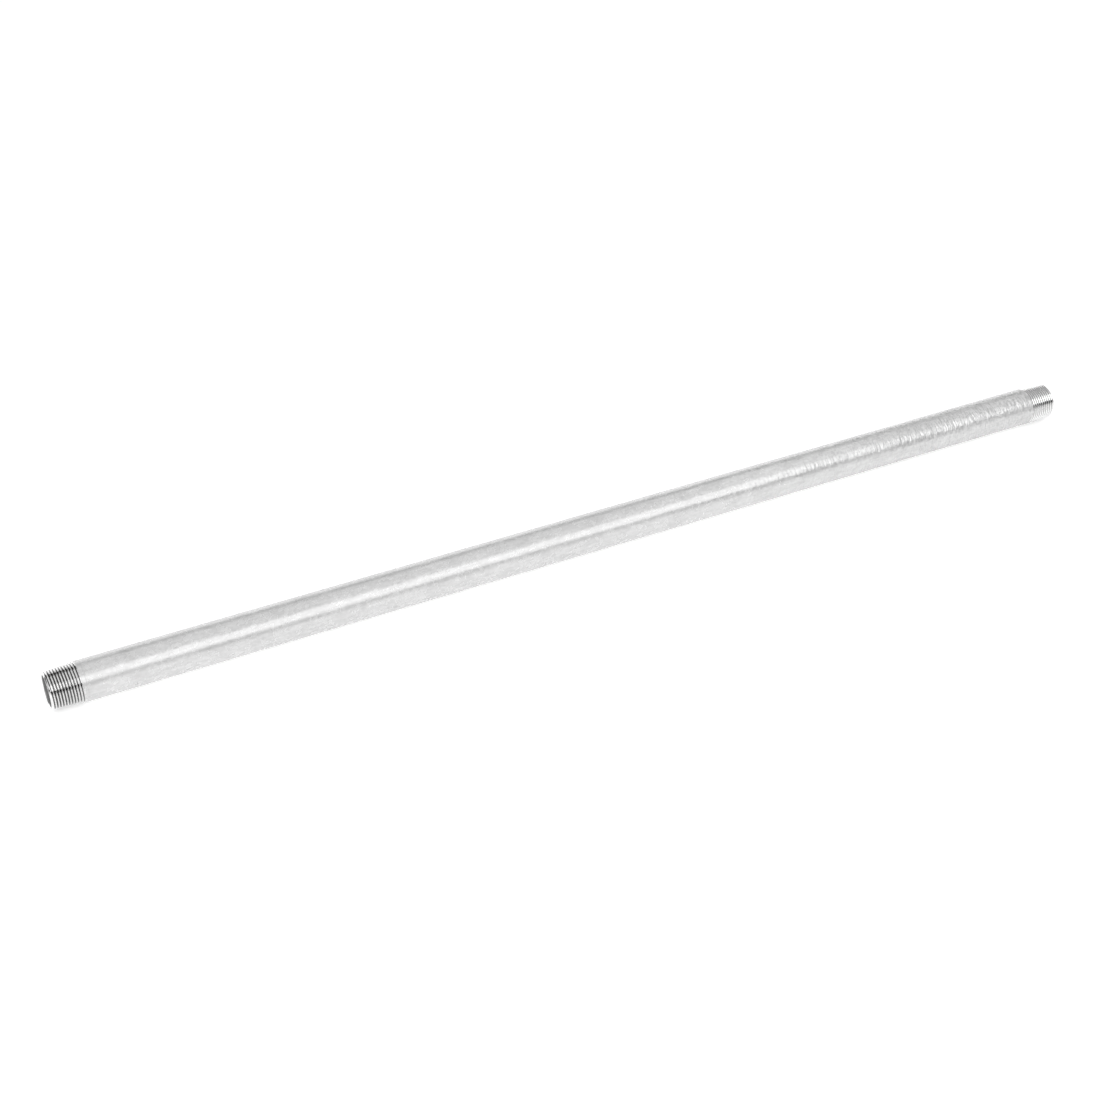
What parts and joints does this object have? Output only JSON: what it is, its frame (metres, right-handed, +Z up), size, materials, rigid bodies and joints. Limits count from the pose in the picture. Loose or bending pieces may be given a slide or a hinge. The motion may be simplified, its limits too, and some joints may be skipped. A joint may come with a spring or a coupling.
{
  "type": "threaded pipe nipple",
  "caption": "Long galvanised steel pipe with a taper pipe thread cut on the outside of both ends, for joining fittings a distance apart.",
  "frame": {"origin": "on the pipe's axis, halfway between its two end faces", "axes": "+X along the pipe's axis, +Z up; the pipe is the same turned end for end"},
  "size_m": [0.762, 0.0266, 0.0266],
  "materials": {
    "zinc_coat": "hot-dip galvanised, finely mottled, with ripples where the zinc ran",
    "cut_steel": "bare steel as left by the thread die, bright"
  },
  "bodies": {
    "root": {"threaded_pipe": "zinc_coat"}
  },
  "joints": []
}
